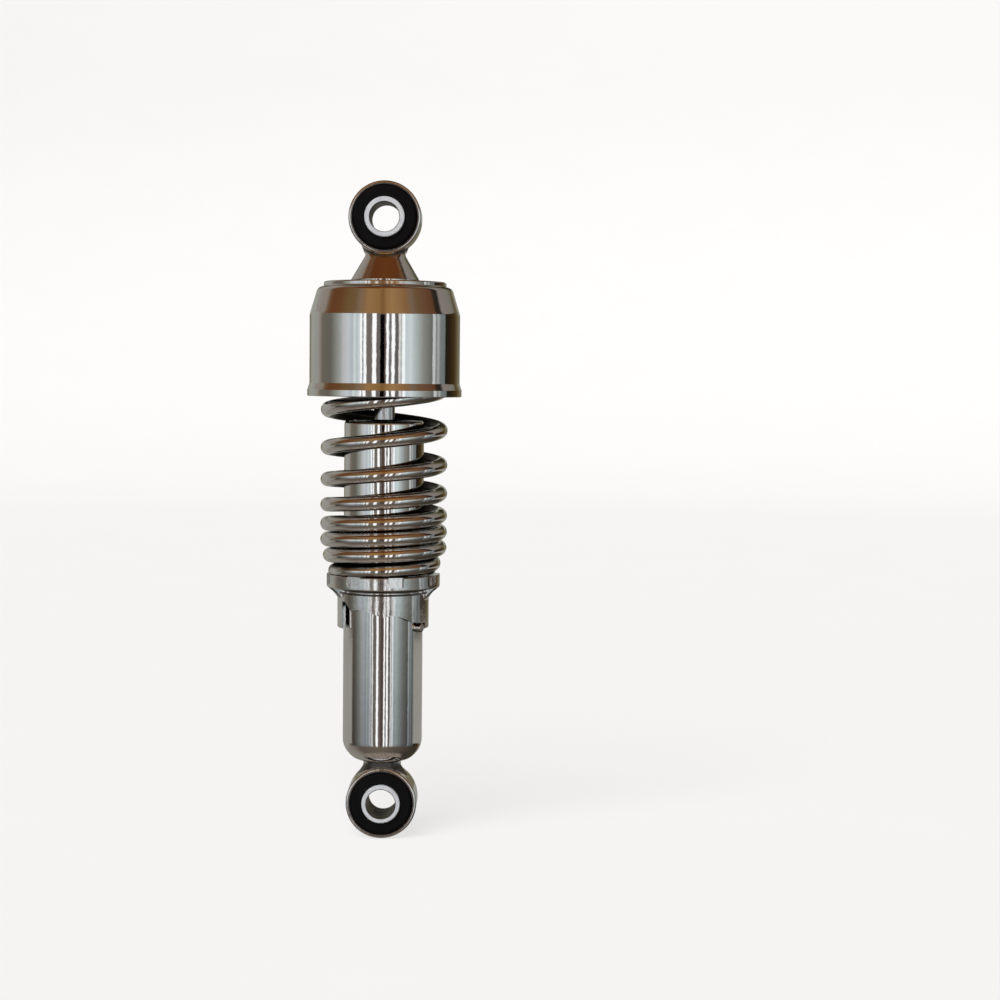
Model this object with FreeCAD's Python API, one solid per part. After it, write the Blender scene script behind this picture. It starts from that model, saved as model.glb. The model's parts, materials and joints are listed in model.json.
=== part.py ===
import FreeCAD, Part
import math
import os

# Rear shock absorber of a motorcycle: a twin-tube hydraulic damper inside a coil spring, with a
# cup-shaped cover over the top of the spring and a stepped cam collar that sets the preload.
# Millimetres, +Z up. The origin is the centre of the lower eye, and both eyes are bored along Y.
# The model stands at full extension with the collar on its stiffest step.
# Angles on the cam and the notches are measured from the front (-Y), growing towards +X.

V = FreeCAD.Vector
Z_AXIS = V(0, 0, 1)
Y_AXIS = V(0, 1, 0)
FRONT_DEG = -90.0              # direction of the front in ordinary polar angles

# ---- driving dimensions -------------------------------------------------------------------
EYE_DISTANCE = 280.0           # lower eye centre to upper eye centre
TRAVEL = 40.0                  # stroke until the bump stop meets the body
RUN = 0.05                     # radial gap of a running fit
FIT = 0.03                     # radial gap left where a piece is pressed or screwed in

STUD_R = 7.0                   # bore of both sleeves, for a 14 mm stud
SLEEVE_LENGTH = 24.4
UPPER_SLEEVE_R = 9.5
LOWER_SLEEVE_R = 9.2
EYE_WIDTH = 20.0
UPPER_EYE_R = 17.2
LOWER_EYE_R = 17.0
UPPER_BUSH_R = 14.9
LOWER_BUSH_R = 14.6
BUSH_PROUD = 0.5               # rubber standing out of the eye on each side
EYE_EDGE = 1.0                 # rounding of the eye's rims, outside
EYE_INNER_EDGE = 0.7           # chamfer of the bore for the rubber

ROD_R = 5.0
ROD_STUD_R = 3.5               # thinner end of the rod that carries the piston
BOSS_BASE_Z = EYE_DISTANCE - 30.3
BOSS_BASE_R = 16.4

COVER_WALL = 1.2
COVER_MOUTH_Z = 195.2
COVER_HOLE_R = 11.0

BODY_R = 19.1
BODY_WALL = 1.5
BODY_TOP_Z = 183.7
BODY_BASE_Z = 19.2
CYLINDER_R = 14.0              # bore of the inner cylinder
CYLINDER_WALL = 1.5

WIRE_R = 3.5
COIL_R = 26.9                  # mean radius of the open coils
END_COIL_R = 22.95             # mean radius of the coil on the collar
COLLAR_TOP_Z = 110.2
COLLAR_R = 27.2
SKIRT_R = 22.0
SKIRT_BASE_Z = 84.5
NOTCHES = 8
NOTCH_ANGLE = 16.2             # first notch
LUG_R = 2.1
LUG_Z = 85.15
LUG_ANGLE = 61.5
CAM_STEPS = 2                  # identical ramps round the collar

# One ramp of the cam: (angle from the front, height of the lower edge). The high points are the
# steps that a lug can rest in, and after the last one the skirt is full length, as a stop.
CAM_RAMP = [(-59.0, 97.6), (-52.0, 97.4), (-40.5, 93.3), (-30.5, 94.4), (-15.0, 93.4), (3.0, 91.0),
            (13.0, 92.1), (23.0, 91.4), (43.0, 88.4), (50.0, 88.05), (56.0, 87.65), (61.5, 87.4),
            (68.5, 87.4)]

# The spring's turns are counted from a point on the left of the collar. The pitch stays small over
# the first coils, grows evenly to the open pitch, and falls again to closed coils under the seat.
COIL_START_Z = 111.4           # wire centre at turn zero
END_PITCH = 7.2                # pitch of the closed coils at both ends
CLOSE_PITCH = 7.55
OPEN_PITCH = 19.0
PITCH_RISES = 3.0              # turn at which the pitch starts to grow
PITCH_OPEN = 6.75              # turn at which the coils are fully open
FIRST_TURN = -0.45
CLOSING_TURNS = 0.6
CLOSED_TURNS = 0.75
GROUND_OFF = 0.9               # wire ground away at the upper end

# ---- derived heights ----------------------------------------------------------------------
COVER_TOP_Z = BOSS_BASE_Z
SEAT_TOP_Z = COVER_TOP_Z - COVER_WALL
SEAT_PLATE = 2.0
SEAT_STEP = 3.0                # drop from the raised disc to the shoulder
SPRING_SEAT_Z = SEAT_TOP_Z - SEAT_STEP - SEAT_PLATE
NUT_HEIGHT = 8.0
NUT_Z = BOSS_BASE_Z - NUT_HEIGHT
BUMP_BASE_Z = BODY_TOP_Z + TRAVEL + 0.8
BODY_INNER_R = BODY_R - BODY_WALL
CRIMP_Z = BODY_TOP_Z - BODY_WALL
CYLINDER_OUT_R = CYLINDER_R + CYLINDER_WALL
FOOT_Z = BODY_BASE_Z + BODY_WALL
CYLINDER_BASE_Z = FOOT_Z + 6.8
RETAINER_Z = CRIMP_Z - 2.0
SEAL_Z = RETAINER_Z - 7.0
GUIDE_FLANGE_Z = SEAL_Z - 8.5
GUIDE_BASE_Z = GUIDE_FLANGE_Z - 5.0
STOP_TOP_Z = GUIDE_BASE_Z - 0.2
PISTON_Z = GUIDE_BASE_Z - 34.0
PISTON_HEIGHT = 14.0
PISTON_TOP_Z = PISTON_Z + PISTON_HEIGHT
VALVE_DISC = 0.6
WASHER = 1.4
ROD_SHOULDER_Z = PISTON_TOP_Z + VALVE_DISC + WASHER
ROD_TOP_Z = BOSS_BASE_Z + 10.5


# ---- helpers ------------------------------------------------------------------------------
def chain(points, closed=True):
    """Edges through (x, z, corner radius) points, with each corner rounded by an arc."""
    count = len(points)
    starts = []
    ends = []
    arcs = []
    for i, point in enumerate(points):
        here = V(point[0], 0, point[1])
        radius = point[2] if len(point) > 2 else 0.0
        before = points[i - 1]
        after = points[(i + 1) % count]
        inward = V(before[0], 0, before[1]).sub(here)
        outward = V(after[0], 0, after[1]).sub(here)
        if radius <= 0.0:
            starts.append(here)
            ends.append(here)
            arcs.append(None)
            continue
        inward.normalize()
        outward.normalize()
        half = inward.getAngle(outward) / 2.0
        reach = radius / math.tan(half)
        start = here.add(inward.multiply(reach))
        end = here.add(outward.multiply(reach))
        middle = start.add(end).multiply(0.5)
        towards = middle.sub(here)
        towards.normalize()
        apex = here.add(towards.multiply(radius / math.sin(half) - radius))
        starts.append(start)
        ends.append(end)
        arcs.append(Part.Arc(start, apex, end).toShape())
    edges = []
    last = count if closed else count - 1
    for i in range(count):
        if arcs[i]:
            edges.append(arcs[i])
        nxt = starts[(i + 1) % count]
        if i < last and ends[i].distanceToPoint(nxt) > 1e-6:
            edges.append(Part.LineSegment(ends[i], nxt).toShape())
    return edges


def lathe(points):
    """Solid of revolution about Z from a closed (r, z, corner radius) outline."""
    wire = Part.Wire(chain(points))
    return Part.Face(wire).revolve(V(0, 0, 0), Z_AXIS, 360)


def ring(r_in, r_out, z0, z1, edge=0.0):
    """Plain ring with rounded corners."""
    return lathe([(r_in, z0, edge), (r_out, z0, edge), (r_out, z1, edge), (r_in, z1, edge)])


def along_y(shape, z):
    """Lay a piece made about Z along Y, with its middle at height z."""
    shape.rotate(V(0, 0, 0), V(1, 0, 0), 90)
    shape.translate(V(0, 0, z))
    return shape


def round_bar(radius, length, z):
    """Cylinder along Y centred at height z."""
    return Part.makeCylinder(radius, length, V(0, -length / 2, z), Y_AXIS)


def hexagon(across_flats, z0, z1):
    corner_r = across_flats / math.sqrt(3)
    points = []
    for i in range(7):
        angle = math.radians(60 * i)
        points.append(V(corner_r * math.cos(angle), corner_r * math.sin(angle), z0))
    prism = Part.Face(Part.makePolygon(points)).extrude(V(0, 0, z1 - z0))
    crown = 0.12 * across_flats
    cone = lathe([(0, z0), (across_flats / 2, z0), (corner_r + 0.1, z0 + crown),
                  (corner_r + 0.1, z1 - crown), (across_flats / 2, z1), (0, z1)])
    return prism.common(cone)


def hex_nut(across_flats, hole_r, z0, z1):
    return hexagon(across_flats, z0, z1).cut(Part.makeCylinder(hole_r, z1 - z0, V(0, 0, z0)))


def drill_circle(shape, count, circle_r, hole_r, z0, z1):
    """Cut a circle of vertical holes."""
    for i in range(count):
        angle = math.radians(360.0 * i / count)
        centre = V(circle_r * math.cos(angle), circle_r * math.sin(angle), z0)
        shape = shape.cut(Part.makeCylinder(hole_r, z1 - z0, centre))
    return shape


def polar(radius, angle_deg, z):
    """Point at an angle counted from the front towards +X."""
    angle = math.radians(FRONT_DEG + angle_deg)
    return V(radius * math.cos(angle), radius * math.sin(angle), z)


def save(name, shape):
    shape = shape.removeSplitter()
    solids = shape.Solids
    if not solids or not all(solid.isValid() for solid in solids):
        raise ValueError(name + " isn't a valid solid")
    shape = solids[0] if len(solids) == 1 else Part.makeCompound(solids)
    shape.exportStep("parts/" + name + ".step")
    print(name, len(solids), round(shape.Volume, 1))


# ---- eyes ---------------------------------------------------------------------------------
def eye_ring(radius, z):
    bar = round_bar(radius, EYE_WIDTH, z)
    rims = [edge for edge in bar.Edges if isinstance(edge.Curve, Part.Circle)]
    return bar.makeFillet(EYE_EDGE, rims)


def eye_bore(bush_r, z):
    """Bore for the rubber, with chamfered mouths."""
    half = EYE_WIDTH / 2
    edge = EYE_INNER_EDGE
    low = [(0, -half - 1), (bush_r + edge, -half - 1), (bush_r + edge, -half), (bush_r, -half + edge)]
    high = [(r, -along) for r, along in reversed(low)]
    bore = lathe(low + high)
    return along_y(bore, z)


def upper_eye():
    neck_r = 9.6
    neck_z = EYE_DISTANCE - 17.8
    web_depth = 17.0
    neck = lathe([(0, BOSS_BASE_Z), (BOSS_BASE_R, BOSS_BASE_Z, 0.3), (BOSS_BASE_R, BOSS_BASE_Z + 1, 0.5),
                  (neck_r, neck_z, 5.0), (neck_r, neck_z + 3), (0, neck_z + 3)])
    flare = lathe([(0, neck_z), (neck_r, neck_z, 3.0), (neck_r + 2.2, neck_z + 6), (0, neck_z + 6)])
    slab = Part.makeBox(40, web_depth, 40, V(-20, -web_depth / 2, neck_z))
    eye = eye_ring(UPPER_EYE_R, EYE_DISTANCE).fuse(neck).fuse(flare.common(slab))
    eye = eye.cut(eye_bore(UPPER_BUSH_R, EYE_DISTANCE))
    screwed = Part.makeCylinder(ROD_R + FIT, ROD_TOP_Z - BOSS_BASE_Z, V(0, 0, BOSS_BASE_Z))
    return eye.cut(screwed)


def lower_eye():
    neck_r = 9.1
    neck_z = 17.0
    web_depth = 16.0
    flank = math.radians(30)
    foot_r = LOWER_EYE_R * math.cos(flank)
    foot_z = LOWER_EYE_R * math.sin(flank)
    body = lathe([(0, 0), (foot_r, 0), (foot_r, foot_z, 2.0), (neck_r, neck_z, 1.2),
                  (neck_r, BODY_BASE_Z), (0, BODY_BASE_Z)])
    slab = Part.makeBox(40, web_depth, 40, V(-20, -web_depth / 2, 0))
    eye = eye_ring(LOWER_EYE_R, 0).fuse(body.common(slab))
    return eye.cut(eye_bore(LOWER_BUSH_R, 0))


def eye_bush(bush_r, sleeve_r, z):
    half = EYE_WIDTH / 2 + BUSH_PROUD
    outer = bush_r - FIT
    inner = sleeve_r + RUN
    bush = lathe([(inner, -half, 0.3), (outer, -half, 1.2), (outer, half, 1.2), (inner, half, 0.3)])
    return along_y(bush, z)


def eye_sleeve(sleeve_r, z):
    half = SLEEVE_LENGTH / 2
    edge = 0.35
    sleeve = lathe([(STUD_R + edge, -half), (sleeve_r - edge, -half), (sleeve_r, -half + edge),
                    (sleeve_r, half - edge), (sleeve_r - edge, half), (STUD_R + edge, half),
                    (STUD_R, half - edge), (STUD_R, -half + edge)])
    return along_y(sleeve, z)


# ---- cover and its seat -------------------------------------------------------------------
def spring_cover():
    """Pressed cup: raised disc, sloping shoulder, straight wall and a flared mouth."""
    wall = COVER_WALL
    top = COVER_TOP_Z
    mouth = COVER_MOUTH_Z
    disc_r = 29.2
    shoulder_z = top - 3.0
    shoulder_r = 32.2
    wall_r = 35.9
    wall_top_z = top - 15.6
    flare_z = mouth + 6.3
    lip_r = 36.9
    lip_z = mouth + 3.1
    return lathe([
        (COVER_HOLE_R, top), (disc_r, top, 0.7), (disc_r + 0.2, top - 2.2, 0.4),
        (shoulder_r, shoulder_z, 2.6), (wall_r, wall_top_z, 6.0), (wall_r, flare_z, 1.5),
        (lip_r, lip_z, 1.2), (lip_r, mouth, 0.35), (lip_r - wall, mouth, 0.35),
        (lip_r - wall, lip_z - 0.2, 1.2), (wall_r - wall, flare_z - 0.3, 1.5),
        (wall_r - wall, wall_top_z - 0.2, 5.0), (shoulder_r - wall, shoulder_z - 1.1, 1.4),
        (disc_r - wall, shoulder_z - 0.9, 0.3), (disc_r - wall, top - wall, 0.3),
        (COVER_HOLE_R, top - wall)])


def upper_spring_seat():
    """Pressed steel ring under the cover's top, stepped to hold the last coil."""
    step_r = 27.7
    rim_r = 30.4
    flange_top = SPRING_SEAT_Z + SEAT_PLATE
    plate_base = SEAT_TOP_Z - SEAT_PLATE
    spigot_r = COIL_R - WIRE_R - 0.6
    return lathe([
        (COVER_HOLE_R, plate_base), (COVER_HOLE_R, SEAT_TOP_Z), (step_r, SEAT_TOP_Z, 0.6),
        (step_r, flange_top, 0.4), (rim_r, flange_top, 0.5), (rim_r, SPRING_SEAT_Z, 0.3),
        (spigot_r, SPRING_SEAT_Z, 0.6), (spigot_r, plate_base, 0.6)])


def bump_stop():
    """Soft cone on the rod under the lock nut."""
    hole_r = ROD_R + FIT
    base = BUMP_BASE_Z
    waist = (base + NUT_Z) / 2
    return lathe([(hole_r, base), (8.6, base, 1.5), (10.4, waist - 3, 2.0), (9.4, waist, 1.0),
                  (11.4, waist + 3, 2.0), (12.0, NUT_Z, 0.8), (hole_r, NUT_Z)])


# ---- rod and piston -----------------------------------------------------------------------
def damper_rod():
    tip = PISTON_Z - 7.0
    return lathe([(0, tip), (ROD_STUD_R, tip, 0.5), (ROD_STUD_R, ROD_SHOULDER_Z),
                  (ROD_R, ROD_SHOULDER_Z, 0.4), (ROD_R, ROD_TOP_Z - 0.2, 0.8), (0, ROD_TOP_Z - 0.2)])


def piston():
    outer = CYLINDER_R - 0.35
    groove_r = 12.2
    groove_z = PISTON_Z + 5.0
    body = lathe([(ROD_STUD_R + FIT, PISTON_Z), (outer, PISTON_Z, 0.5), (outer, groove_z),
                  (groove_r, groove_z), (groove_r, groove_z + 4), (outer, groove_z + 4),
                  (outer, PISTON_TOP_Z, 0.5), (ROD_STUD_R + FIT, PISTON_TOP_Z)])
    return drill_circle(body, 6, 8.6, 1.3, PISTON_Z - 1, PISTON_TOP_Z + 1)


def piston_ring():
    groove_z = PISTON_Z + 5.0
    whole = ring(12.2 + FIT, CYLINDER_R - RUN, groove_z + RUN, groove_z + 4 - RUN, 0.15)
    return whole.cut(Part.makeBox(4, 1.0, 6, V(11, -0.5, groove_z - 1)))


def rebound_stop():
    height = 8.0
    return ring(ROD_R + FIT, 9.0, STOP_TOP_Z - height, STOP_TOP_Z, 0.6)


# ---- top closure of the damper ------------------------------------------------------------
def rod_guide():
    outer = BODY_INNER_R - FIT
    bush_r = ROD_R + 1.5
    groove_z = GUIDE_FLANGE_Z + 3.0
    groove_r = outer - 1.7
    return lathe([(bush_r, GUIDE_BASE_Z), (CYLINDER_R - FIT, GUIDE_BASE_Z, 0.5),
                  (CYLINDER_R - FIT, GUIDE_FLANGE_Z), (outer, GUIDE_FLANGE_Z, 0.4),
                  (outer, groove_z), (groove_r, groove_z), (groove_r, groove_z + 2.2),
                  (outer, groove_z + 2.2), (outer, SEAL_Z, 0.4), (bush_r, SEAL_Z)])


def guide_o_ring():
    section_r = 0.8
    centre_r = BODY_INNER_R - FIT - section_r - 0.05
    return Part.makeTorus(centre_r, section_r, V(0, 0, GUIDE_FLANGE_Z + 4.1))


def oil_seal():
    """Rubber seal with a cup-shaped lip facing the oil."""
    hollow_z = SEAL_Z + 3.2
    return lathe([(ROD_R + RUN, SEAL_Z + 1.0, 0.4), (ROD_R + 1.6, SEAL_Z, 0.2), (ROD_R + 3.0, hollow_z, 0.8),
                  (BODY_INNER_R - 3.0, hollow_z, 0.8), (BODY_INNER_R - 2.4, SEAL_Z),
                  (BODY_INNER_R - FIT, SEAL_Z, 0.4), (BODY_INNER_R - FIT, RETAINER_Z, 0.4),
                  (ROD_R + 1.2, RETAINER_Z, 0.3), (ROD_R + RUN, SEAL_Z + 4.5, 0.4)])


def dust_seal():
    """Wiper that stands up round the rod through the retainer."""
    return lathe([(ROD_R + 1.3, RETAINER_Z + FIT), (8.0, RETAINER_Z + FIT, 0.2), (8.0, CRIMP_Z, 0.3),
                  (ROD_R + 1.0, BODY_TOP_Z + 0.5, 0.3), (ROD_R + RUN, BODY_TOP_Z + 0.1, 0.2),
                  (ROD_R + RUN, BODY_TOP_Z - 1.0, 0.2)])


# ---- damper body --------------------------------------------------------------------------
def body_tube():
    """Drawn cup with a domed base and a top edge rolled in over the seals."""
    inner = BODY_INNER_R
    base_r = 8.8
    lip_r = 15.6
    shoulder_r = 14.4
    shoulder_z = BODY_BASE_Z + 1.9
    wall_z = BODY_BASE_Z + 7.2
    return lathe([
        (0, BODY_BASE_Z), (base_r, BODY_BASE_Z, 3.0), (shoulder_r, shoulder_z, 8.0), (BODY_R, wall_z, 10.0),
        (BODY_R, BODY_TOP_Z, 1.8), (lip_r, BODY_TOP_Z, 0.5), (lip_r, CRIMP_Z, 0.3), (inner, CRIMP_Z, 0.3),
        (inner, wall_z + 0.6, 8.0), (shoulder_r - 0.9, shoulder_z + 1.3, 4.0), (base_r, FOOT_Z, 3.0),
        (0, FOOT_Z)])


def foot_valve_body():
    seat = CYLINDER_BASE_Z
    hub_r = 8.2
    hole_r = 2.0
    body = lathe([(hole_r, FOOT_Z + 3.5), (3.4, FOOT_Z + 3.5), (3.4, FOOT_Z), (hub_r, FOOT_Z, 0.5),
                  (hub_r, seat - 2), (CYLINDER_OUT_R, seat - 2, 0.4), (CYLINDER_OUT_R, seat),
                  (CYLINDER_R - FIT, seat), (CYLINDER_R - FIT, seat + 5, 0.6), (hole_r, seat + 5)])
    return drill_circle(body, 4, 10.6, 1.3, seat - 3, seat + 6)


def foot_valve_rivet():
    top = CYLINDER_BASE_Z + 5 + 0.5
    shank_r = 2.0 - FIT
    return lathe([(0, FOOT_Z + 2.3), (3.2, FOOT_Z + 2.3, 0.4), (3.2, FOOT_Z + 3.5), (shank_r, FOOT_Z + 3.5),
                  (shank_r, top), (4.0, top), (4.0, top + 1.4, 1.0), (0, top + 1.4)])


def cam_lugs():
    """Two round pegs on the tube that the collar's steps rest on."""
    lugs = []
    for step in range(CAM_STEPS):
        angle = LUG_ANGLE + step * 360.0 / CAM_STEPS
        root = polar(BODY_R - 1.0, angle, LUG_Z)
        outward = polar(1.0, angle, 0)
        peg = Part.makeCylinder(LUG_R, 3.8, root, outward)
        peg = peg.makeFillet(0.5, [max(peg.Edges, key=lambda e: e.CenterOfMass.Length)])
        lugs.append(peg.cut(Part.makeCylinder(BODY_R, 20, V(0, 0, LUG_Z - 10))))
    return Part.makeCompound(lugs)


# ---- preload collar -----------------------------------------------------------------------
def cam_cutter(angle0, z0, angle1, z1):
    """Solid under a ramp that climbs evenly from one angle to the next."""
    spans = 6
    rails = []
    for radius in (SKIRT_R - 5.0, SKIRT_R + 2.0):
        points = []
        for i in range(spans + 1):
            part = i / spans
            points.append(polar(radius, angle0 + (angle1 - angle0) * part, z0 + (z1 - z0) * part))
        rail = Part.BSplineCurve()
        rail.interpolate(points)
        rails.append(rail.toShape())
    return Part.makeRuledSurface(rails[0], rails[1]).extrude(V(0, 0, -30))


def collar_groove():
    """Space between the flange and the top edge of the cam plate, over one ramp."""
    start = CAM_RAMP[0][0]
    sweep = CAM_RAMP[-1][0] - 2.0 - start
    root_r = SKIRT_R - 1.1
    plate_z = 101.3
    under_z = COLLAR_TOP_Z - 6.0
    far_r = COLLAR_R + 2.0
    outline = Part.Wire(chain([
        (SKIRT_R, 98.0), (SKIRT_R, plate_z, 0.6), (root_r, plate_z + 0.5, 0.2), (root_r, under_z - 1.4, 0.8),
        (COLLAR_R + 0.2, under_z, 0.0), (far_r, under_z), (far_r, 98.0)]))
    space = Part.Face(outline).revolve(V(0, 0, 0), Z_AXIS, sweep)
    space.rotate(V(0, 0, 0), Z_AXIS, FRONT_DEG + start)
    return space


def cam_collar():
    guide_r = BODY_R + 0.35
    skirt_in = SKIRT_R - 1.8
    flange_z = COLLAR_TOP_Z - 6.0
    collar = lathe([
        (guide_r, COLLAR_TOP_Z, 0.4), (COLLAR_R, COLLAR_TOP_Z, 0.5), (COLLAR_R, flange_z, 0.8),
        (23.9, 101.4, 3.0), (SKIRT_R, 98.9, 2.0), (SKIRT_R, SKIRT_BASE_Z, 0.4),
        (skirt_in, SKIRT_BASE_Z, 0.4), (skirt_in, 98.0, 0.5), (guide_r, 98.8, 0.5)])
    for step in range(CAM_STEPS):
        turn = step * 360.0 / CAM_STEPS
        groove = collar_groove()
        groove.rotate(V(0, 0, 0), Z_AXIS, turn)
        collar = collar.cut(groove)
        for start, end in zip(CAM_RAMP, CAM_RAMP[1:]):
            collar = collar.cut(cam_cutter(start[0] + turn, start[1], end[0] + turn, end[1]))
    notch_r = COLLAR_R - 2.0
    notch_width = 7.2
    notch_depth = 4.6
    for i in range(NOTCHES):
        box = Part.makeBox(notch_width, 6, 10, V(-notch_width / 2, -notch_r - 6, COLLAR_TOP_Z - notch_depth))
        box.rotate(V(0, 0, 0), Z_AXIS, NOTCH_ANGLE + 360.0 * i / NOTCHES)
        collar = collar.cut(box)
    return collar


# ---- coil spring --------------------------------------------------------------------------
def ramp_height(turns, pitch0, pitch1, over):
    """Height gained in some turns while the pitch changes evenly between two values."""
    return turns * pitch0 + (pitch1 - pitch0) * turns * turns / (2 * over)


OPEN_START_Z = (COIL_START_Z + PITCH_RISES * CLOSE_PITCH
                + (PITCH_OPEN - PITCH_RISES) * (CLOSE_PITCH + OPEN_PITCH) / 2)
CLOSE_START_Z = (SPRING_SEAT_Z - WIRE_R + GROUND_OFF - CLOSED_TURNS * END_PITCH
                 - CLOSING_TURNS * (OPEN_PITCH + END_PITCH) / 2)
PITCH_CLOSES = PITCH_OPEN + (CLOSE_START_Z - OPEN_START_Z) / OPEN_PITCH
LAST_TURN = PITCH_CLOSES + CLOSING_TURNS + CLOSED_TURNS


def coil_height(turn):
    if turn < 0:
        return COIL_START_Z + turn * END_PITCH
    if turn < PITCH_RISES:
        return COIL_START_Z + turn * CLOSE_PITCH
    if turn < PITCH_OPEN:
        return COIL_START_Z + PITCH_RISES * CLOSE_PITCH + ramp_height(
            turn - PITCH_RISES, CLOSE_PITCH, OPEN_PITCH, PITCH_OPEN - PITCH_RISES)
    if turn < PITCH_CLOSES:
        return OPEN_START_Z + (turn - PITCH_OPEN) * OPEN_PITCH
    if turn < PITCH_CLOSES + CLOSING_TURNS:
        return CLOSE_START_Z + ramp_height(turn - PITCH_CLOSES, OPEN_PITCH, END_PITCH, CLOSING_TURNS)
    return (CLOSE_START_Z + CLOSING_TURNS * (OPEN_PITCH + END_PITCH) / 2
            + (turn - PITCH_CLOSES - CLOSING_TURNS) * END_PITCH)


def coil_radius(turn):
    """Mean radius: the first coil is drawn in to sit on the collar."""
    part = min(max((turn + 0.1) / 1.8, 0.0), 1.0)
    return END_COIL_R + (COIL_R - END_COIL_R) * part * part * (3 - 2 * part)


def coil_point(turn):
    angle = math.pi + 2 * math.pi * turn
    radius = coil_radius(turn)
    return V(radius * math.cos(angle), radius * math.sin(angle), coil_height(turn))


def coil_spring():
    steps = int(math.ceil((LAST_TURN - FIRST_TURN) * 16))
    path = []
    for i in range(steps + 1):
        path.append(coil_point(FIRST_TURN + (LAST_TURN - FIRST_TURN) * i / steps))
    line = Part.BSplineCurve()
    line.interpolate(path)
    section = Part.Circle(path[0], line.tangent(line.FirstParameter)[0], WIRE_R).toShape()
    wire = Part.Wire(line.toShape()).makePipeShell([Part.Wire(section)], True, True)
    big = 2 * COIL_R
    below = Part.makeBox(4 * COIL_R, 4 * COIL_R, 20, V(-big, -big, COLLAR_TOP_Z - 20))
    above = Part.makeBox(4 * COIL_R, 4 * COIL_R, 20, V(-big, -big, SPRING_SEAT_Z))
    return wire.cut(below).cut(above)


# ---- write every piece --------------------------------------------------------------------
def main():
    os.makedirs("parts", exist_ok=True)
    save("upper_eye", upper_eye())
    save("upper_eye_bush", eye_bush(UPPER_BUSH_R, UPPER_SLEEVE_R, EYE_DISTANCE))
    save("upper_eye_sleeve", eye_sleeve(UPPER_SLEEVE_R, EYE_DISTANCE))
    save("rod_lock_nut", hex_nut(17.0, ROD_R + FIT, NUT_Z, BOSS_BASE_Z))
    save("spring_cover", spring_cover())
    save("upper_spring_seat", upper_spring_seat())
    save("bump_stop", bump_stop())
    save("damper_rod", damper_rod())
    save("rebound_stop", rebound_stop())
    save("piston_washer", ring(ROD_STUD_R + FIT, 7.5, ROD_SHOULDER_Z - WASHER, ROD_SHOULDER_Z, 0.2))
    save("piston_valve_disc", ring(ROD_STUD_R + FIT, 11.0, PISTON_TOP_Z, PISTON_TOP_Z + VALVE_DISC))
    save("piston", piston())
    save("piston_ring", piston_ring())
    save("piston_nut", hex_nut(11.0, ROD_STUD_R + FIT, PISTON_Z - 6.0, PISTON_Z))
    save("rod_guide", rod_guide())
    save("rod_guide_bush", ring(ROD_R + RUN, ROD_R + 1.5 - FIT, GUIDE_BASE_Z + 1, SEAL_Z - 1, 0.2))
    save("guide_o_ring", guide_o_ring())
    save("oil_seal", oil_seal())
    save("seal_retainer", ring(8.0 + FIT, BODY_INNER_R - FIT, RETAINER_Z, CRIMP_Z, 0.2))
    save("dust_seal", dust_seal())
    save("body_tube", body_tube())
    save("inner_cylinder", ring(CYLINDER_R, CYLINDER_OUT_R, CYLINDER_BASE_Z, GUIDE_FLANGE_Z, 0.2))
    save("foot_valve_body", foot_valve_body())
    save("foot_valve_disc", ring(2.0 + FIT, 12.4, CYLINDER_BASE_Z + 5, CYLINDER_BASE_Z + 5.5))
    save("foot_valve_rivet", foot_valve_rivet())
    save("cam_lugs", cam_lugs())
    save("lower_eye", lower_eye())
    save("lower_eye_bush", eye_bush(LOWER_BUSH_R, LOWER_SLEEVE_R, 0))
    save("lower_eye_sleeve", eye_sleeve(LOWER_SLEEVE_R, 0))
    save("cam_collar", cam_collar())
    save("coil_spring", coil_spring())


main()
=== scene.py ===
import json
import math

import bpy
from mathutils import Matrix, Vector


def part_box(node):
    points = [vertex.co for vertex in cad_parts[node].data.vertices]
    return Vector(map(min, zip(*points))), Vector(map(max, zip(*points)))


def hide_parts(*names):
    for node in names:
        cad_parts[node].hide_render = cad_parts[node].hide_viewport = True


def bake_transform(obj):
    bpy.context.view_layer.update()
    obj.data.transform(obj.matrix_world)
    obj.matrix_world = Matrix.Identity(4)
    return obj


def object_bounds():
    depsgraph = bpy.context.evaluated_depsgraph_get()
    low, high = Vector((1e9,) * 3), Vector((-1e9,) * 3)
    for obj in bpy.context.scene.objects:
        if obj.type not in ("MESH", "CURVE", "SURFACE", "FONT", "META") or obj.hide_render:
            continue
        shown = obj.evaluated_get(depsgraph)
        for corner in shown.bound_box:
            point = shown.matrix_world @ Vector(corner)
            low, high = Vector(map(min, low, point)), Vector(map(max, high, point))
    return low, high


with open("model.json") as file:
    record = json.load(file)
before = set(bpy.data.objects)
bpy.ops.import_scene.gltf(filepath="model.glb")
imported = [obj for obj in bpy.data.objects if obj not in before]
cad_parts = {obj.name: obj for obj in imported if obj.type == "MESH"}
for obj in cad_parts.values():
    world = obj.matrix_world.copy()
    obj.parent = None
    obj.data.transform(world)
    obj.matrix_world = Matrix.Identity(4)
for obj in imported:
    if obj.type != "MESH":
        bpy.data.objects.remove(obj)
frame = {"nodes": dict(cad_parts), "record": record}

CAD_LOW, CAD_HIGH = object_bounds()
MM = 0.001
TAU = 2 * math.pi

COLLAR_TOP_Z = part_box("cam_collar")[1].z
SEAT_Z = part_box("upper_spring_seat")[0].z


# ---- camera -------------------------------------------------------------------------------
CAMERA_DISTANCE = 0.988        # from the damper's axis, level
CAMERA_YAW = 3.05              # degrees round the axis, towards +X
CAMERA_HEIGHT = 0.2067
AIM_RIGHT = 3.24               # degrees that the view turns right of the axis
AIM_DOWN = 3.52
ROLL = 0.58                    # the shock stands a hair out of upright in the picture


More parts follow.
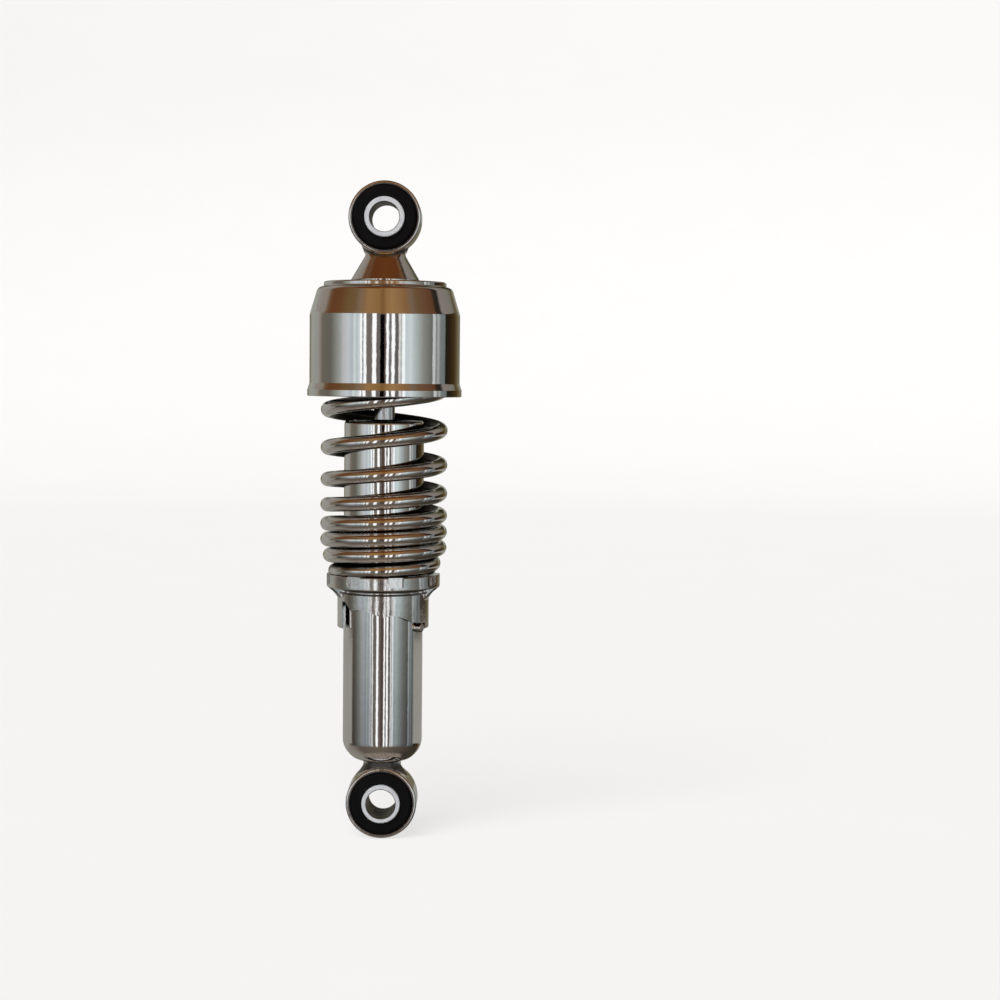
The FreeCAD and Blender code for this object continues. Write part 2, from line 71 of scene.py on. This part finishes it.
def make_camera():
    data = bpy.data.cameras.new("camera")
    data.sensor_width = 36.0
    data.lens = 74.0
    data.clip_start = 0.05
    camera = bpy.data.objects.new("camera", data)
    bpy.context.scene.collection.objects.link(camera)
    yaw = math.radians(CAMERA_YAW)
    camera.location = (CAMERA_DISTANCE * math.sin(yaw), -CAMERA_DISTANCE * math.cos(yaw), CAMERA_HEIGHT)
    turn = (Matrix.Rotation(yaw - math.radians(AIM_RIGHT), 3, "Z")
            @ Matrix.Rotation(math.radians(90 - AIM_DOWN), 3, "X")
            @ Matrix.Rotation(math.radians(ROLL), 3, "Z"))
    camera.rotation_euler = turn.to_euler()
    bpy.context.scene.camera = camera


# ---- studio -------------------------------------------------------------------------------
def linear(code):
    """Scene-linear RGBA of a display colour given as three 0-255 numbers."""
    out = []
    for value in code:
        part = value / 255
        out.append(part / 12.92 if part <= 0.04045 else ((part + 0.055) / 1.055) ** 2.4)
    return (*out, 1.0)


def grey(level):
    return (level, level, level)


WHITE = (1.0, 1.0, 1.0, 1.0)
STUDIO_STRENGTH = 1.18
# What surrounds the shock, as (bearing, colour): degrees from straight in front of it, to the left
# negative and to the right positive. Lamps, the gaps between them and the walls, at eye level.
LEFT_STUDIO = [
    (-180, (155, 155, 145)), (-156, (150, 150, 140)), (-124, (145, 145, 140)), (-116, (135, 125, 115)),
    (-111, (105, 100, 90)), (-96, (100, 95, 85)), (-90, (100, 95, 90)), (-83, (120, 120, 110)),
    (-72, (150, 155, 150)), (-66, (180, 180, 180)), (-57, (190, 195, 200)), (-50, (175, 180, 185)),
    (-47, (205, 215, 215)), (-43, (180, 190, 190)), (-38, (210, 215, 220)), (-37, (255, 255, 255)),
    (-35, (255, 255, 255)), (-34, (130, 135, 140)), (-33, (130, 135, 140)), (-32, (255, 255, 255)),
    (-29, (255, 255, 255)), (-27.5, (110, 105, 100)), (-19.5, (110, 100, 95)), (-18.5, (255, 255, 255)),
    (-13.5, (255, 255, 255)), (-12.5, (100, 90, 90)), (-7.5, (105, 100, 95)), (-6, (75, 65, 60)),
    (0, (85, 70, 65))]
RIGHT_STUDIO = [
    (0, (85, 70, 65)), (1.5, (90, 80, 80)), (2.5, (255, 255, 255)), (5.5, (255, 255, 255)),
    (6.5, (110, 105, 110)), (9.5, (115, 110, 110)), (10.5, (255, 255, 255)), (14.5, (255, 255, 255)),
    (15.5, (95, 95, 95)), (20.5, (100, 90, 90)), (21.5, (220, 220, 215)), (23.5, (215, 210, 210)),
    (25, (145, 145, 150)), (27, (250, 255, 255)), (30, (240, 245, 250)), (31.5, (190, 200, 205)),
    (40, (200, 210, 210)), (46, (175, 185, 185)), (61, (135, 135, 130)), (77, (100, 100, 95)),
    (79.5, (195, 200, 200)), (82.5, (185, 190, 190)), (85, (120, 120, 120)), (89, (165, 170, 170)),
    (94, (115, 120, 120)), (104, (110, 115, 115)), (106.5, (30, 30, 25)), (116, (40, 30, 20)),
    (134, (65, 50, 25)), (150, (105, 95, 70)), (162, (145, 145, 135)), (180, (155, 155, 145))]
# The ceiling as the sloping faces show it, and the part right above.
CEILING = [
    (-180, (35, 30, 25)), (-168, (55, 50, 40)), (-150, (145, 140, 135)), (-112, (130, 120, 110)),
    (-106, (105, 80, 60)), (-98, (95, 60, 35)), (-80, (100, 65, 40)), (-66, (105, 80, 50)),
    (-52, (110, 85, 60)), (-44, (120, 100, 80)), (-37, (130, 100, 70)), (-28, (145, 110, 70)),
    (-10, (135, 100, 60)), (-4, (120, 85, 50)), (2, (140, 105, 65)), (12, (150, 115, 75)),
    (26, (140, 105, 70)), (36, (130, 95, 60)), (46, (115, 95, 80)), (56, (105, 80, 55)),
    (70, (100, 70, 50)), (86, (90, 60, 40)), (91, (45, 35, 30)), (99, (40, 35, 30)),
    (104, (130, 120, 115)), (131, (120, 115, 105)), (144, (95, 90, 70)), (158, (50, 45, 30)),
    (180, (35, 30, 25))]
ZENITH = [
    (-180, (45, 40, 30)), (-150, (70, 65, 55)), (-112, (120, 110, 100)), (-88, (100, 75, 55)),
    (-72, (90, 50, 25)), (0, (95, 55, 25)), (72, (90, 50, 25)), (88, (110, 80, 55)),
    (112, (120, 110, 100)), (146, (65, 60, 45)), (180, (45, 40, 30))]
BELOW = [
    (-180, (110, 105, 90)), (-150, (135, 132, 125)), (-110, (125, 120, 112)), (-75, (90, 82, 75)),
    (0, (100, 90, 80)), (70, (75, 68, 60)), (110, (55, 50, 42)), (180, (60, 55, 45))]


class Nodes:
    """Small helper to build a node tree with few words."""

    def __init__(self, tree):
        self.tree = tree
        tree.nodes.clear()

    def add(self, kind, **sockets):
        node = self.tree.nodes.new("ShaderNode" + kind)
        for name, value in sockets.items():
            self.put(node, name, value)
        return node

    def put(self, node, name, value):
        socket = node.inputs[int(name[1:])] if name[0] == "i" and name[1:].isdigit() else None
        if socket is None:
            socket = node.inputs[name.replace("_", " ")]
        if isinstance(value, bpy.types.NodeSocket):
            self.tree.links.new(value, socket)
        else:
            socket.default_value = value

    def math(self, operation, a, b=0.0):
        node = self.add("Math", i0=a, i1=b)
        node.operation = operation
        return node.outputs[0]

    def both(self, a, b):
        return self.math("MULTIPLY", a, b)

    def distance(self, a, b):
        """Length of the right-angled pair a, b."""
        return self.math("SQRT", self.math("ADD", self.math("POWER", a, 2.0), self.math("POWER", b, 2.0)))

    def noise(self, scale, detail, where=None, **more):
        node = self.add("TexNoise", Scale=scale, Detail=detail, **more)
        if where is not None:
            self.put(node, "Vector", where)
        return node.outputs[0]

    def noise_along(self, number, scale, detail):
        """Noise that changes with one number only."""
        node = self.add("TexNoise", Scale=scale, Detail=detail)
        node.noise_dimensions = "1D"
        self.put(node, "W", number)
        return node.outputs[0]

    def ragged(self, number, scale, amount, where):
        """A number with noise added, so that an edge drawn from it isn't clean."""
        patch = self.noise(scale, 5.0, where)
        return self.math("ADD", number, self.math("MULTIPLY", self.math("SUBTRACT", patch, 0.5), amount))

    def span(self, value, low, high, out_low=0.0, out_high=1.0, smooth=True):
        """value carried from low-high to out_low-out_high, clamped. low may be above high."""
        if low > high:
            low, high, out_low, out_high = high, low, out_high, out_low
        node = self.add("MapRange", i0=value, i1=low, i2=high, i3=out_low, i4=out_high)
        if smooth:
            node.interpolation_type = "SMOOTHSTEP"
        return node.outputs[0]

    def mix(self, factor, a, b):
        node = self.add("Mix")
        node.data_type = "RGBA"
        for index, value in ((0, factor), (6, a), (7, b)):
            self.put(node, "i%d" % index, value)
        return node.outputs[2]

    def tint(self, a, b):
        """Product of two colours."""
        node = self.add("Mix")
        node.data_type = "RGBA"
        node.blend_type = "MULTIPLY"
        for index, value in ((0, 1.0), (6, a), (7, b)):
            self.put(node, "i%d" % index, value)
        return node.outputs[2]

    def combine(self, value):
        """Grey of a number."""
        return self.add("CombineXYZ", i0=value, i1=value, i2=value).outputs[0]

    def ramp(self, value, stops):
        """Colour ramp from (position 0-1, RGBA) stops."""
        node = self.add("ValToRGB", i0=value)
        ramp = node.color_ramp
        while len(ramp.elements) > 1:
            ramp.elements.remove(ramp.elements[-1])
        ramp.elements[0].position = stops[0][0]
        ramp.elements[0].color = stops[0][1]
        for position, colour in stops[1:]:
            ramp.elements.new(position).color = colour
        return node.outputs[0]


def bearing_ramp(nodes, bearing, table, low, high):
    stops = [((angle - low) / (high - low), linear(code)) for angle, code in table]
    part = nodes.span(bearing, low, high, smooth=False)
    return nodes.ramp(part, stops)


def studio_level(n, bearing, z):
    """Colour of the studio round the shock, between its floor and its ceiling."""
    left = bearing_ramp(n, bearing, LEFT_STUDIO, -180, 0)
    right = bearing_ramp(n, bearing, RIGHT_STUDIO, 0, 180)
    level = n.mix(n.math("GREATER_THAN", bearing, 0.0), left, right)
    streaks = n.span(n.noise_along(bearing, 1.7, 3.0), 0.3, 0.7, 0.90, 1.08, smooth=False)
    # The walls darken towards the floor, the lamps in front hardly do.
    aside = n.math("ABSOLUTE", bearing)
    wall = n.both(n.span(aside, 18, 36), n.span(aside, 114, 98))
    dusk = n.mix(wall, WHITE, n.mix(n.span(z, -0.20, -0.03), (0.40, 0.40, 0.41, 1), WHITE))
    level = n.tint(level, dusk)
    # A pale skirting at the sides and behind.
    skirting = n.both(n.span(z, -0.118, -0.136), n.span(z, -0.30, -0.26))
    level = n.mix(n.both(n.span(aside, 96, 104), skirting), level, linear((145, 142, 137)))
    level = n.mix(n.span(aside, 22, 30), level, n.tint(level, n.combine(streaks)))
    # Olive cloth behind the shock.
    cloth = n.both(n.span(z, -0.112, -0.096), n.span(z, 0.066, 0.050))
    level = n.mix(n.both(n.span(aside, 146, 166), cloth), level, linear((104, 99, 80)))
    # A small dark thing stands between the two middle lamps.
    across = n.both(n.span(bearing, -7.3, -6.7), n.span(bearing, -0.2, -0.8))
    along = n.both(n.span(z, -0.030, -0.026), n.span(z, 0.056, 0.050))
    return n.mix(n.both(across, along), level, linear((6, 3, 4)))


def make_world():
    """A ring of soft lamps with dark gaps, a warm ceiling and a dim floor, seen only by reflections."""
    world = bpy.data.worlds.new("studio")
    bpy.context.scene.world = world
    world.use_nodes = True
    n = Nodes(world.node_tree)
    place = n.add("TexCoord").outputs["Generated"]
    x, y, z = n.add("SeparateXYZ", i0=place).outputs
    yaw = math.radians(CAMERA_YAW)
    ahead = n.math("SUBTRACT", n.math("MULTIPLY", x, math.sin(yaw)), n.math("MULTIPLY", y, math.cos(yaw)))
    right = n.math("ADD", n.math("MULTIPLY", x, math.cos(yaw)), n.math("MULTIPLY", y, math.sin(yaw)))
    bearing = n.math("MULTIPLY", n.math("ARCTAN2", right, ahead), 180 / math.pi)
    ceiling = n.mix(n.span(z, 0.70, 0.82), bearing_ramp(n, bearing, CEILING, -180, 180),
                    bearing_ramp(n, bearing, ZENITH, -180, 180))
    carpet = n.noise(11.0, 6.0, place, Roughness=0.7)
    floor = n.ramp(carpet, [(0.36, linear((84, 74, 64))), (0.62, linear((152, 141, 131)))])
    below = n.mix(n.span(z, -0.80, -0.90), bearing_ramp(n, bearing, BELOW, -180, 180), floor)
    up = n.span(z, 0.20, 0.235)
    down = n.span(z, -0.30, -0.46)
    colour = n.mix(down, n.mix(up, studio_level(n, bearing, z), ceiling), below)
    background = n.add("Background", Color=colour, Strength=STUDIO_STRENGTH)
    n.add("OutputWorld", Surface=background.outputs[0])


def make_backdrop():
    """Pale floor that curves up into a round wall far away."""
    floor_z = CAD_LOW.z - 0.0004
    flat_r, bend_r, wall_top = 2.4, 0.8, 3.0
    rings = [(0.0, floor_z), (0.8, floor_z), (flat_r, floor_z)]
    bends = 12
    for i in range(1, bends + 1):
        angle = math.pi / 2 * i / bends
        rings.append((flat_r + bend_r * math.sin(angle), floor_z + bend_r * (1 - math.cos(angle))))
    rings.append((flat_r + bend_r, floor_z + wall_top))
    stage = lathe_object("backdrop", rings[::-1], 96)
    m = bpy.data.materials.new("pale_paper")
    m.use_nodes = True
    n = Nodes(m.node_tree)
    tone = n.ramp(n.noise(60.0, 3.0), [(0.3, (0.86, 0.86, 0.855, 1)), (0.7, (0.89, 0.89, 0.885, 1))])
    matt = n.add("BsdfDiffuse", Color=tone)
    glow = n.add("Emission", Color=(1, 1, 1, 1), Strength=1.0)
    paper = n.add("MixShader", i0=0.72, i1=matt.outputs[0], i2=glow.outputs[0])
    n.add("OutputMaterial", Surface=paper.outputs[0])
    stage.data.materials.append(m)
    stage.visible_glossy = False
    stage.visible_diffuse = False
    stage.visible_transmission = False
    stage.visible_shadow = False


def make_lamp():
    """Wide soft light from the front and above, for the matt surfaces and the shadow on the floor."""
    data = bpy.data.lights.new("soft_light", "SUN")
    data.angle = math.radians(50)
    data.energy = 3.0
    lamp = bpy.data.objects.new("soft_light", data)
    bpy.context.scene.collection.objects.link(lamp)
    lamp.rotation_euler = Vector((0.45, 1.0, -1.0)).to_track_quat("-Z", "Y").to_euler()
    lamp.visible_glossy = False


# ---- mesh helpers -------------------------------------------------------------------------
def link_mesh(name, verts, faces, smooth=True):
    mesh = bpy.data.meshes.new(name)
    mesh.from_pydata(verts, [], faces)
    mesh.validate()
    for polygon in mesh.polygons:
        polygon.use_smooth = smooth
    obj = bpy.data.objects.new(name, mesh)
    bpy.context.scene.collection.objects.link(obj)
    return obj


def lathe_object(name, profile, segments):
    """Surface of revolution about Z through (r, z) points; a point with r 0 closes it."""
    verts = []
    rows = []
    for r, z in profile:
        if r <= 1e-9:
            rows.append([len(verts)])
            verts.append((0, 0, z))
            continue
        rows.append(list(range(len(verts), len(verts) + segments)))
        for i in range(segments):
            angle = TAU * i / segments
            verts.append((r * math.cos(angle), r * math.sin(angle), z))
    faces = []
    for low, high in zip(rows, rows[1:]):
        for i in range(segments):
            j = (i + 1) % segments
            if len(low) == 1:
                faces.append((low[0], high[j], high[i]))
            elif len(high) == 1:
                faces.append((low[i], low[j], high[0]))
            else:
                faces.append((low[i], low[j], high[j], high[i]))
    return link_mesh(name, verts, faces)


# ---- coil spring --------------------------------------------------------------------------
# The same coil as the CAD node: turns are counted from a point on the left of the collar.
WIRE_R = 3.5 * MM
COIL_R = 26.9 * MM
END_COIL_R = 22.95 * MM
COIL_START_Z = 111.4 * MM
END_PITCH = 7.2 * MM
CLOSE_PITCH = 7.55 * MM
OPEN_PITCH = 19.0 * MM
PITCH_RISES = 3.0
PITCH_OPEN = 6.75
FIRST_TURN = -0.45
CLOSING_TURNS = 0.6
CLOSED_TURNS = 0.75
GROUND_OFF = 0.9 * MM
REST_GAP = 0.02 * MM           # between a ground end and what it stands on
OPEN_START_Z = (COIL_START_Z + PITCH_RISES * CLOSE_PITCH
                + (PITCH_OPEN - PITCH_RISES) * (CLOSE_PITCH + OPEN_PITCH) / 2)
CLOSE_START_Z = (SEAT_Z - WIRE_R + GROUND_OFF - CLOSED_TURNS * END_PITCH
                 - CLOSING_TURNS * (OPEN_PITCH + END_PITCH) / 2)
PITCH_CLOSES = PITCH_OPEN + (CLOSE_START_Z - OPEN_START_Z) / OPEN_PITCH
LAST_TURN = PITCH_CLOSES + CLOSING_TURNS + CLOSED_TURNS
SPLIT_TURN = 4.0               # the wire is cut here into its lower and upper piece
STEPS_PER_TURN = 96
WIRE_SIDES = 36


def gained(turns, pitch0, pitch1, over):
    """Height gained in some turns while the pitch changes evenly between two values."""
    return turns * pitch0 + (pitch1 - pitch0) * turns * turns / (2 * over)


def coil_height(turn):
    if turn < 0:
        return COIL_START_Z + turn * END_PITCH
    if turn < PITCH_RISES:
        return COIL_START_Z + turn * CLOSE_PITCH
    if turn < PITCH_OPEN:
        return COIL_START_Z + PITCH_RISES * CLOSE_PITCH + gained(
            turn - PITCH_RISES, CLOSE_PITCH, OPEN_PITCH, PITCH_OPEN - PITCH_RISES)
    if turn < PITCH_CLOSES:
        return OPEN_START_Z + (turn - PITCH_OPEN) * OPEN_PITCH
    if turn < PITCH_CLOSES + CLOSING_TURNS:
        return CLOSE_START_Z + gained(turn - PITCH_CLOSES, OPEN_PITCH, END_PITCH, CLOSING_TURNS)
    return (CLOSE_START_Z + CLOSING_TURNS * (OPEN_PITCH + END_PITCH) / 2
            + (turn - PITCH_CLOSES - CLOSING_TURNS) * END_PITCH)


def coil_radius(turn):
    part = min(max((turn + 0.1) / 1.8, 0.0), 1.0)
    return END_COIL_R + (COIL_R - END_COIL_R) * part * part * (3 - 2 * part)


def coil_point(turn):
    angle = math.pi + TAU * turn
    radius = coil_radius(turn)
    return Vector((radius * math.cos(angle), radius * math.sin(angle), coil_height(turn)))


def coil_piece(name, turn0, turn1):
    """Wire from one turn to another, ground flat where it meets the collar or the upper seat.
    Returns the object and each vertex's turn."""
    steps = int(round((turn1 - turn0) * STEPS_PER_TURN))
    floor_z = COLLAR_TOP_Z + REST_GAP
    ceiling_z = SEAT_Z - REST_GAP
    verts = []
    normals = []
    turns = []
    for i in range(steps + 1):
        turn = turn0 + (turn1 - turn0) * i / steps
        centre = coil_point(turn)
        along = (coil_point(turn + 0.002) - coil_point(turn - 0.002)).normalized()
        out = Vector((centre.x, centre.y, 0)).normalized()
        out = (out - along * out.dot(along)).normalized()
        up = along.cross(out)
        if up.z < 0:
            up = -up
        for k in range(WIRE_SIDES):
            angle = TAU * k / WIRE_SIDES
            normal = out * math.cos(angle) + up * math.sin(angle)
            point = centre + normal * WIRE_R
            if point.z < floor_z:
                point.z = floor_z
                normal = Vector((0, 0, -1))
            if point.z > ceiling_z:
                point.z = ceiling_z
                normal = Vector((0, 0, 1))
            verts.append(point)
            normals.append(normal)
            turns.append(turn)
    faces = []
    for i in range(steps):
        for k in range(WIRE_SIDES):
            a = i * WIRE_SIDES + k
            b = i * WIRE_SIDES + (k + 1) % WIRE_SIDES
            faces.append((a, a + WIRE_SIDES, b + WIRE_SIDES, b))
    faces.append(tuple(range(WIRE_SIDES)))
    faces.append(tuple(reversed(range(steps * WIRE_SIDES, (steps + 1) * WIRE_SIDES))))
    obj = link_mesh(name, verts, faces)
    caps = len(faces) - 2
    for polygon in obj.data.polygons[caps:]:
        polygon.use_smooth = False
    loop_normals = []
    for polygon in obj.data.polygons:
        for index in polygon.vertices:
            loop_normals.append(normals[index] if polygon.index < caps else polygon.normal.copy())
    obj.data.normals_split_custom_set(loop_normals)
    return obj, turns


def make_spring(chrome):
    """Two lengths of one wire: the closed coils that stand on the collar and the open coils up to
    the cover. They meet on one cross-section."""
    lower, turns = coil_piece("coil_spring_lower", FIRST_TURN, SPLIT_TURN)
    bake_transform(lower)
    upper, turns = coil_piece("coil_spring_upper", SPLIT_TURN, LAST_TURN)
    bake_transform(upper)
    for piece in (lower, upper):
        piece.data.materials.append(chrome)
    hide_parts("coil_spring")


# ---- materials ----------------------------------------------------------------------------
def new_material(name):
    material = bpy.data.materials.new(name)
    material.use_nodes = True
    return material, Nodes(material.node_tree)


def object_place(n, scale=(1, 1, 1)):
    coords = n.add("TexCoord")
    return n.add("Mapping", Vector=coords.outputs["Object"], Scale=scale).outputs[0]


def finish_material(n, tone, metallic, rough, height, bump_strength, bump_depth):
    """Principled shader with a bump, joined to the output. Returns the shader node."""
    bump = n.add("Bump", Strength=bump_strength, Distance=bump_depth, Height=height)
    shader = n.add("BsdfPrincipled", Base_Color=tone, Metallic=metallic, Roughness=rough,
                   Normal=bump.outputs[0])
    n.add("OutputMaterial", Surface=shader.outputs[0])
    return shader


def cloudy_tone(n, cloud, dark, light, low=0.3, high=0.7):
    return n.ramp(cloud, [(low, (*dark, 1)), (high, (*light, 1))])


def chrome_shader(n, extra_rough=0.0, dark=(0.79, 0.79, 0.78), light=(0.86, 0.86, 0.855), peel=1.0,
                  painted_shade=None):
    """Bright plate: slow ripple of the metal under it, orange peel, and a faint haze. The last argument is a
    number, 0 to 1, of how much shade is painted into the plate at a point; it also makes the plate matt
    there."""
    place = object_place(n)
    ripple = n.noise(60.0, 1.0, place)
    skin = n.noise(620.0, 2.0, object_place(n, (1, 1, 0.45)))
    fine = n.noise(2400.0, 2.0, object_place(n, (1, 1, 0.15)))
    height = n.math("ADD", ripple, n.math("MULTIPLY", skin, 0.2 * peel))
    height = n.math("ADD", height, n.math("MULTIPLY", fine, 0.006 * peel))
    haze = n.noise(34.0, 7.0, place)
    rough = n.span(haze, 0.35, 0.75, 0.025 + extra_rough, 0.065 + extra_rough)
    tone = cloudy_tone(n, haze, dark, light)
    # Painted shade: where the mask is up, the plate's colour goes near black and its roughness rises.
    if painted_shade is not None:
        tone = n.mix(painted_shade, tone, (0.035, 0.032, 0.028, 1))
        rough = n.math("ADD", rough, n.math("MULTIPLY", painted_shade, 0.30))
    finish_material(n, tone, 1.0, rough, height, 1.0, 0.06 * MM)


def chrome_material():
    material, n = new_material("chrome")
    chrome_shader(n)
    return material


def eye_material(name, eye, sleeve, reach):
    """Plate over a forging, with painted shade in the crease between the ring and its neck, as far as
    reach out from the ring."""
    material, n = new_material(name)
    low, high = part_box(eye)
    ring_r = (high.x - low.x) / 2
    place, radius = round_the_bore(n, sleeve)
    edge = n.ragged(radius, 420.0, 1.2 * MM, place)
    # Painted shade: a band next to the ring, out to reach, with a ragged outer edge.
    crease = n.both(n.span(radius, ring_r + 0.1 * MM, ring_r + 0.3 * MM),
                    n.span(edge, ring_r + reach, ring_r + reach - 1.6 * MM))
    chrome_shader(n, extra_rough=0.03, peel=2.2, painted_shade=n.math("MULTIPLY", crease, 0.85))
    return material


def cast_chrome_material():
    """Plate over a rough casting, for the collar; the faces that point down, under the cam, get painted
    shade.
    """
    material, n = new_material("cast_chrome")
    facing = n.add("SeparateXYZ", i0=n.add("NewGeometry").outputs["True Normal"])
    # Painted shade on faces that point down, fuller the more steeply they face the floor.
    underside_shade = n.span(facing.outputs[2], -0.35, -0.75)
    chrome_shader(n, extra_rough=0.08, dark=(0.70, 0.70, 0.69), light=(0.86, 0.86, 0.85), peel=3.4, painted_shade=underside_shade)
    return material


def wire_material():
    """Plated wire, with painted shade on the inner side of the coils."""
    material, n = new_material("plated_wire")
    place = n.add("TexCoord").outputs["Object"]
    x, y, _ = n.add("SeparateXYZ", i0=place).outputs
    # Painted shade on the side of the wire that faces the spring's axis, with a ragged edge.
    edge = n.ragged(n.distance(x, y), 120.0, 1.6 * MM, place)
    chrome_shader(n, painted_shade=n.span(edge, COIL_R - 0.3 * MM, COIL_R - 1.2 * MM))
    return material


def steel_material(name, dark, light, rough):
    """Turned steel."""
    material, n = new_material(name)
    turning = n.noise(900.0, 2.0, object_place(n, (1, 0.05, 1)))
    cloud = n.noise(90.0, 5.0, object_place(n))
    tone = cloudy_tone(n, cloud, dark, light)
    finish_material(n, tone, 1.0, n.span(cloud, 0.3, 0.7, rough, rough + 0.12), turning, 0.25, 0.1 * MM)
    return material


def rubber_material(name):
    """Black moulded rubber with fine pores and a faint bloom."""
    material, n = new_material(name)
    place = object_place(n)
    pores = n.noise(1500.0, 4.0, place)
    cloud = n.noise(160.0, 5.0, place)
    tone = cloudy_tone(n, cloud, (0.0022, 0.0022, 0.0026), (0.006, 0.006, 0.007), high=0.75)
    shader = finish_material(n, tone, 0.0, n.span(cloud, 0.3, 0.7, 0.6, 0.8), pores, 0.5, 0.08 * MM)
    n.put(shader, "Specular_IOR_Level", 0.16)
    return material


def sleeve_material(name, sleeve):
    """Faced steel tube: fine turning rings on its ends, and a bore of less metallic steel painted near black
    as shade inside it.
    """
    material, n = new_material(name)
    place, radius = round_the_bore(n, sleeve)
    rings = n.noise_along(radius, 3200.0, 2.0)
    cloud = n.noise(240.0, 6.0, place)
    # The bore: its near-black colour is painted shade, its lower metallic value is the plainer steel inside.
    bore = n.span(radius, 7.45 * MM, 7.15 * MM)
    face = cloudy_tone(n, cloud, (0.71, 0.77, 0.84), (0.86, 0.92, 0.98))
    tone = n.mix(bore, face, (0.045, 0.043, 0.036, 1))
    metal = n.math("SUBTRACT", 0.45, n.math("MULTIPLY", bore, 0.15))
    finish_material(n, tone, metal, n.span(cloud, 0.3, 0.7, 0.36, 0.5), rings, 0.3, 0.05 * MM)
    return material


def plain_material(name, dark, light, metallic, rough):
    material, n = new_material(name)
    cloud = n.noise(140.0, 5.0, object_place(n))
    finish_material(n, cloudy_tone(n, cloud, dark, light), metallic, rough, cloud, 0.2, 0.1 * MM)
    return material


def round_the_bore(n, sleeve):
    """Object coordinates, and the distance from the bore's axis through a sleeve."""
    low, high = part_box(sleeve)
    place = n.add("TexCoord").outputs["Object"]
    x, _, z = n.add("SeparateXYZ", i0=place).outputs
    return place, n.distance(x, n.math("SUBTRACT", z, (low.z + high.z) / 2))


def make_materials():
    return {
        "chrome": chrome_material(),
        "cast_chrome": cast_chrome_material(),
        "upper_eye_plate": eye_material("upper_eye_plate", "upper_eye", "upper_eye_sleeve", 2.4 * MM),
        "lower_eye_plate": eye_material("lower_eye_plate", "lower_eye", "lower_eye_sleeve", 4.2 * MM),
        "plated_wire": wire_material(),
        "hard_chrome": steel_material("hard_chrome", (0.62, 0.63, 0.65), (0.72, 0.73, 0.75), 0.10),
        "bush_rubber": rubber_material("bush_rubber"),
        "upper_sleeve": sleeve_material("upper_sleeve", "upper_eye_sleeve"),
        "lower_sleeve": sleeve_material("lower_sleeve", "lower_eye_sleeve"),
        "seal_rubber": rubber_material("seal_rubber"),
        "zinc_steel": steel_material("zinc_steel", (0.45, 0.46, 0.47), (0.60, 0.61, 0.62), 0.3),
        "plain_steel": steel_material("plain_steel", (0.35, 0.35, 0.35), (0.5, 0.5, 0.5), 0.3),
        "sintered_iron": plain_material("sintered_iron", grey(0.12), grey(0.2), 0.8, 0.5),
        "bearing_bronze": plain_material("bearing_bronze", (0.42, 0.26, 0.10), (0.55, 0.36, 0.16), 1.0, 0.35),
        "ring_plastic": plain_material("ring_plastic", (0.05, 0.04, 0.035), (0.09, 0.07, 0.06), 0.0, 0.5),
    }


# Nodes that look otherwise than their material slot.
LOOKS = {"upper_eye": "upper_eye_plate", "lower_eye": "lower_eye_plate",
         "cam_collar": "cast_chrome", "cam_lugs": "cast_chrome",
         "upper_eye_sleeve": "upper_sleeve", "lower_eye_sleeve": "lower_sleeve"}


def dress_cad_nodes(materials):
    """Every CAD node takes the procedural material of its slot, or its own look."""
    for row in frame["record"]["subparts"]:
        node = frame["nodes"][row["node"]]
        node.data.materials.clear()
        look = LOOKS.get(row["node"], row["material_slot"])
        node.data.materials.append(materials[look])


# ---- the scene ----------------------------------------------------------------------------
def main():
    bpy.context.scene.view_settings.view_transform = "Standard"
    make_camera()
    make_world()
    make_lamp()
    make_backdrop()
    materials = make_materials()
    dress_cad_nodes(materials)
    make_spring(materials["plated_wire"])


main()
